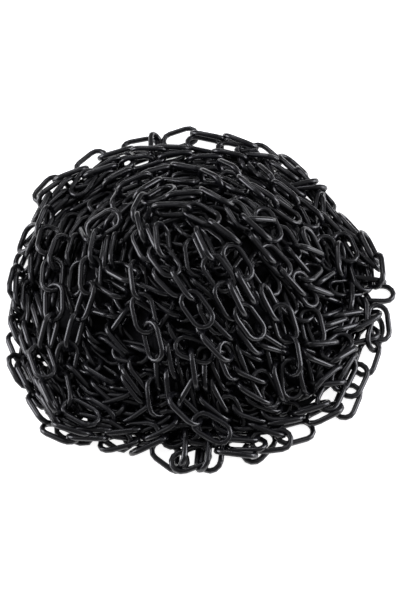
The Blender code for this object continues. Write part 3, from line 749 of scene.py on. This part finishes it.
def mould_grain_group():
    """Fine grain of a moulded face, and the slow clouds of its gloss."""
    made, start, end = effect_group("mould_grain", (("Strength", 1.0),), ("Grain", "Clouds"))
    grain = reckon(made, "MULTIPLY", noise(made, scale=1500.0, detail=3.0), start.outputs["Strength"])
    clouds = ranged(made, noise(made, scale=60.0, detail=2.0), low=0.3, high=0.7)
    made.links.new(grain, end.inputs["Grain"])
    made.links.new(clouds, end.inputs["Clouds"])
    return made


def wire_marks_group():
    """What follows the wire: its rubbed arrises, and the mould's parting line down its sides."""
    made, start, end = effect_group("wire_marks", (("Wear", 1.0),), ("Rubbed", "Parting Line"))
    section = made.nodes.new("ShaderNodeAttribute")
    section.attribute_name = "section"
    apart = made.nodes.new("ShaderNodeSeparateXYZ")
    made.links.new(section.outputs["Vector"], apart.inputs["Vector"])
    across = reckon(made, "ABSOLUTE", apart.outputs["X"])
    deep = reckon(made, "ABSOLUTE", apart.outputs["Y"])
    outward = reckon(made, "ADD", reckon(made, "DIVIDE", across, WIRE_ACROSS / 2),
                     reckon(made, "DIVIDE", deep, WIRE_DEEP / 2))
    on_arris = ranged(made, outward, RUB_START, RUB_FULL)
    patchy = ranged(made, noise(made, scale=220.0, detail=3.0), low=0.42, high=0.68)
    rubbed = reckon(made, "MULTIPLY", reckon(made, "MULTIPLY", on_arris, patchy), start.outputs["Wear"])
    parting = ranged(made, deep, PARTING_HALF, PARTING_EDGE, to_low=1.0, to_high=0.0)
    made.links.new(rubbed, end.inputs["Rubbed"])
    made.links.new(parting, end.inputs["Parting Line"])
    return made


def scuffs_group():
    """Fine wandering scratches that come in patches."""
    made, start, end = effect_group("scuffs", (("Amount", 1.0),), ("Scuffs",))
    waver = noise(made, scale=170.0, detail=2.0, distortion=2.5)
    from_line = reckon(made, "ABSOLUTE", reckon(made, "SUBTRACT", waver, 0.5))
    thin = ranged(made, from_line, low=0.003, high=0.012, to_low=1.0, to_high=0.0)
    patches = ranged(made, noise(made, scale=35.0, detail=2.0), low=0.45, high=0.65)
    scratches = reckon(made, "MULTIPLY", thin, patches)
    made.links.new(reckon(made, "MULTIPLY", scratches, start.outputs["Amount"]), end.inputs["Scuffs"])
    return made


def dust_group():
    """Dust that has settled on faces that look upward."""
    made, start, end = effect_group("dust", (("Amount", 1.0),), ("Dust",))
    surface = made.nodes.new("ShaderNodeNewGeometry")
    apart = made.nodes.new("ShaderNodeSeparateXYZ")
    made.links.new(surface.outputs["Normal"], apart.inputs["Vector"])
    upward = ranged(made, apart.outputs["Z"], low=0.35, high=1.0)
    specks = ranged(made, noise(made, scale=420.0, detail=4.0), low=0.45, high=0.75)
    settled = reckon(made, "MULTIPLY", upward, specks)
    made.links.new(reckon(made, "MULTIPLY", settled, start.outputs["Amount"]), end.inputs["Dust"])
    return made


def placed_group(tree, group, **values):
    """A group's node in a material, with its own values."""
    node = tree.nodes.new("ShaderNodeGroup")
    node.node_tree = group
    for label, value in values.items():
        node.inputs[label].default_value = value
    return node


def blended(tree, factor, first, second):
    """One colour going over into another by a factor."""
    mix = tree.nodes.new("ShaderNodeMix")
    mix.data_type = "RGBA"
    tree.links.new(factor, mix.inputs["Factor"])
    for colour, socket in ((first, mix.inputs["A"]), (second, mix.inputs["B"])):
        if isinstance(colour, bpy.types.NodeSocket):
            tree.links.new(colour, socket)
        else:
            socket.default_value = (*colour, 1.0)
    return mix.outputs["Result"]


def plastic_material(grain, marks, scuffs, dust):
    """Black moulded plastic: each link's own black, rubbed arrises, scuffs, dust and mould grain."""
    made = bpy.data.materials.new("black_plastic_finish")
    made.use_nodes = True
    tree = made.node_tree
    shader = tree.nodes["Principled BSDF"]
    shader.inputs["IOR"].default_value = 1.5
    surface = placed_group(tree, grain, Strength=0.5)
    wire = placed_group(tree, marks, Wear=0.7)
    rubs = placed_group(tree, scuffs, Amount=0.8)
    specks = placed_group(tree, dust, Amount=0.35)
    tone = tree.nodes.new("ShaderNodeAttribute")
    tone.attribute_name = "link_tone"
    black = blended(tree, tone.outputs["Fac"], BLACKEST_LINK, PALEST_LINK)
    wear = reckon(tree, "MAXIMUM", wire.outputs["Rubbed"], rubs.outputs["Scuffs"])
    worn = blended(tree, wear, black, RUBBED_PLASTIC)
    cover = reckon(tree, "MULTIPLY", specks.outputs["Dust"], DUST_COVER)
    dusty = blended(tree, cover, worn, DUST_COLOUR)
    tree.links.new(dusty, shader.inputs["Base Color"])
    gloss = ranged(tree, surface.outputs["Clouds"], 0.0, 1.0, GLOSSIEST, DULLEST)
    rough = reckon(tree, "ADD", gloss, reckon(tree, "MULTIPLY", rubs.outputs["Scuffs"], SCUFF_DULLING))
    rougher = reckon(tree, "ADD", rough, reckon(tree, "MULTIPLY", specks.outputs["Dust"], DUST_DULLING))
    tree.links.new(rougher, shader.inputs["Roughness"])
    height = reckon(tree, "ADD", surface.outputs["Grain"], wire.outputs["Parting Line"])
    bump = tree.nodes.new("ShaderNodeBump")
    bump.inputs["Strength"].default_value = PLASTIC_RELIEF
    bump.inputs["Distance"].default_value = PLASTIC_RELIEF_DEPTH
    tree.links.new(height, bump.inputs["Height"])
    tree.links.new(bump.outputs["Normal"], shader.inputs["Normal"])
    return made


def painted_inner_shade_material(grain, dust):
    """Painted shade for the chain deep inside, which hardly any light reaches: a near-black, dull dome with
    darker gaps painted between its links.
    """
    made = bpy.data.materials.new("inner_chain_painted_shade")
    made.use_nodes = True
    tree = made.node_tree
    shader = tree.nodes["Principled BSDF"]
    shader.inputs["Specular IOR Level"].default_value = 0.1
    surface = placed_group(tree, grain, Strength=1.0)
    specks = placed_group(tree, dust, Amount=0.5)
    # Painted shade: a noise pattern of darker gaps between links, so the dark dome reads as tangled chain
    # in shadow
    links = ranged(tree, noise(tree, scale=48.0, detail=3.0, distortion=1.5), low=0.4, high=0.62)
    black = blended(tree, links, GAP_PAINTED_SHADE, INNER_LINK)
    cover = reckon(tree, "MULTIPLY", specks.outputs["Dust"], INNER_DUST_COVER)
    dusty = blended(tree, cover, black, INNER_DUST)
    tree.links.new(dusty, shader.inputs["Base Color"])
    rough = ranged(tree, surface.outputs["Clouds"], 0.0, 1.0, INNER_GLOSSIEST, INNER_DULLEST)
    tree.links.new(rough, shader.inputs["Roughness"])
    bump = tree.nodes.new("ShaderNodeBump")
    bump.inputs["Strength"].default_value = INNER_RELIEF
    bump.inputs["Distance"].default_value = INNER_RELIEF_DEPTH
    tree.links.new(links, bump.inputs["Height"])
    tree.links.new(bump.outputs["Normal"], shader.inputs["Normal"])
    return made


def pale_floor():
    """The floor, which is stage and no part of the heap."""
    bpy.ops.object.select_all(action="DESELECT")
    bpy.ops.mesh.primitive_plane_add(size=FLOOR_SIDE)
    floor = bpy.context.object
    floor.name = "floor"
    finish = bpy.data.materials.new("pale_floor")
    finish.use_nodes = True
    shader = finish.node_tree.nodes["Principled BSDF"]
    shader.inputs["Base Color"].default_value = FLOOR_COLOUR
    shader.inputs["Roughness"].default_value = FLOOR_ROUGHNESS
    shader.inputs["Emission Color"].default_value = WHITE
    shader.inputs["Emission Strength"].default_value = FLOOR_GLOW
    floor.data.materials.append(finish)


def studio_light():
    """A dim white sky, and softboxes aimed at the heap."""
    world = bpy.data.worlds.new("studio")
    bpy.context.scene.world = world
    world.use_nodes = True
    sky = world.node_tree.nodes["Background"]
    sky.inputs["Color"].default_value = WHITE
    sky.inputs["Strength"].default_value = SKY_STRENGTH
    for name, place, size, energy in SOFTBOXES:
        light = bpy.data.lights.new(name, "AREA")
        light.energy = energy
        light.size = size
        light.color = SOFTBOX_COLOUR
        box = bpy.data.objects.new(name, light)
        box.location = place
        box.rotation_euler = (-Vector(place)).to_track_quat("-Z", "Y").to_euler()
        bpy.context.scene.collection.objects.link(box)
    bpy.context.scene.view_settings.view_transform = "Standard"


def photo_camera():
    """The camera at the photograph's place, aimed so that the heap's middle falls where it does there."""
    camera = bpy.data.cameras.new("camera")
    camera.sensor_fit = "VERTICAL"
    camera.sensor_height = SENSOR_HEIGHT
    camera.lens = camera.sensor_height * SIGHT_DISTANCE / PHOTO_HEIGHT
    camera_object = bpy.data.objects.new("camera", camera)
    right = PHOTO_WIDTH / 2 - HEAP_MIDDLE_PX[0]
    rise = HEAP_MIDDLE_PX[1] - PHOTO_HEIGHT / 2
    aim = np.array([right, 0.0, 0.0]) + SIGHT_UP * rise
    camera_object.location = Vector(EYE) * METRE
    camera_object.rotation_euler = Vector(aim - EYE).to_track_quat("-Z", "Y").to_euler()
    bpy.context.scene.collection.objects.link(camera_object)
    bpy.context.scene.camera = camera_object


def end_link():
    """Middle and axes of the free end link, flat on the floor where the photograph shows it."""
    x, y = END_LINK_PX
    on_sheet = np.array([x - HEAP_MIDDLE_PX[0], 0.0, 0.0]) + SIGHT_UP * (HEAP_MIDDLE_PX[1] - y)
    sight = on_sheet - EYE
    middle = EYE + sight * (END_LINK_HEIGHT - EYE[2]) / sight[2]
    return middle, np.eye(3)


def shown_links():
    """Middles, axes, followers, lifts and strand names of every link that the photograph shows."""
    middles = []
    axes = []
    follows = []
    lifts = []
    names = []
    for name, (lift, links) in STRANDS.items():
        links = np.array(links, float)
        heading = np.radians(links[:, 2])
        reach = HEADING_REACH_PX * np.stack([np.cos(heading), np.sin(heading)], axis=1)
        middle = photo_to_heap(links[:, :2], lift)
        along = photo_to_heap(links[:, :2] + reach, lift) - photo_to_heap(links[:, :2] - reach, lift)
        lean = RIM_LEAN if name.startswith("rim_") else SHOWN_LEAN
        placed = link_axes(middle, along, links[:, 3], lean)
        follows += [len(follows) + 1 + number for number in range(len(links) - 1)] + [-1]
        names += [name] * len(links)
        lifts += [lift] * len(links)
        middles.append(middle)
        axes.append(placed)
    return np.concatenate(middles), np.concatenate(axes), follows, lifts, names


def hidden_links(first):
    """Middles, axes and followers of the chain that lies below, in loops round the heap's middle."""
    random = np.random.default_rng(LOOP_SEED)
    middles = []
    axes = []
    follows = []
    loops = [(HIDDEN_LIFT, reach, 0.0, WHOLE_TURN) for reach in HIDDEN_LOOPS]
    loops += [(None, reach, 0.0, WHOLE_TURN) for reach in FLOOR_LOOPS]
    loops += [(None, *loop) for loop in FOOT_LOOPS]
    loops += [(BACK_LIFT, *loop) for loop in BACK_LOOPS]
    for lift, reach, first_angle, last_angle in loops:
        angle = np.radians(np.linspace(first_angle, last_angle, LOOP_POINTS))
        waves = sum(np.sin(times * angle + random.uniform(0, 2 * math.pi)) for times in LOOP_WAVES) / 2
        wobble = LOOP_WOBBLE if last_angle - first_angle == WHOLE_TURN else PART_WOBBLE
        spread = reach + wobble * waves
        x = spread * np.cos(angle)
        y = spread * np.sin(angle)
        if lift is None:
            z = np.full_like(x, FLOOR_LOOP_HEIGHT)
        else:
            z = np.maximum(core_height(x, y) + lift, LOWEST_LOOP)
        joints = even_joints(np.stack([x, y, z], axis=1), SLACK_PITCH)
        middle = (joints[1:] + joints[:-1]) / 2
        strays = random.uniform(-TURN_STRAY, TURN_STRAY, len(middle))
        turns = 45.0 + 90.0 * (np.arange(len(middle)) % 2) + strays
        start = first + len(follows)
        follows += [start + 1 + number for number in range(len(middle) - 1)] + [-1]
        middles.append(middle)
        axes.append(link_axes(middle, joints[1:] - joints[:-1], turns, HIDDEN_LEAN))
    return np.concatenate(middles), np.concatenate(axes), follows


def laid_links():
    """Every link as it is laid: middle, axes, follower, how firmly it is held, how easily it gives way.

    The shown links come first, then the hidden ones, and last the free end link. The names that come with
    them are the strands of the shown links.
    """
    end_middle, end_axes = end_link()
    shown_middles, shown_axes, shown_follows, lifts, names = shown_links()
    shown = len(shown_middles)
    hidden_middles, hidden_axes, hidden_follows = hidden_links(shown)
    middles = np.concatenate([shown_middles, hidden_middles, end_middle[None]])
    axes = np.concatenate([shown_axes, hidden_axes, end_axes[None]])
    follows = np.array(shown_follows + hidden_follows + [-1])
    hold = np.full(len(middles), HIDDEN_HOLD)
    hold[:shown] = SHOWN_HOLD
    ease = np.ones(len(middles))
    ease[:shown] = np.interp(lifts, (LOWER_LIFT, UPPER_LIFT), (LOWER_EASE, UPPER_EASE))
    at_rim = np.flatnonzero([name.startswith("rim_") for name in names])
    hold[at_rim] = RIM_HOLD
    ease[at_rim] = RIM_EASE
    hold[-1] = END_HOLD
    ease[-1] = END_EASE
    return middles, axes, follows, hold, ease, names


middles, axes, follows, hold, ease, names = laid_links()
middles, axes = settle(middles, axes, follows, hold, ease)
shown = len(names)

grain = mould_grain_group()
marks = wire_marks_group()
scuffs = scuffs_group()
dust = dust_group()
plastic = plastic_material(grain, marks, scuffs, dust)
shape = link_shape(BEND_STEPS)
hidden_shape = link_shape(HIDDEN_BEND_STEPS)
middles = rest_on_floor(middles, axes, np.concatenate([shape[0], hidden_shape[0]]))

solids = [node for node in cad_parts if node.startswith("strand_")]
for region, starts in REGIONS:
    here = np.array([name.startswith(starts) for name in names])
    piece = chain_piece(region, middles[:shown][here], axes[:shown][here], shape, plastic)
    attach(piece, "root")
    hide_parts(*[node for node in solids if node.removeprefix("strand_").startswith(starts)])
under = chain_piece("chain_under", middles[shown:-1], axes[shown:-1], hidden_shape, plastic)
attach(under, "root")
last = chain_piece("last_link", middles[-1:], axes[-1:], shape, plastic)
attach(last, "root")
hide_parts("end_link")
# The heap's core gets painted shade: a near-black, dull dome that stands for the darkness deep among the
# links
core = bpy.data.objects["heap_core"]
core.data.materials.clear()
core.data.materials.append(painted_inner_shade_material(grain, dust))
pale_floor()
studio_light()
photo_camera()
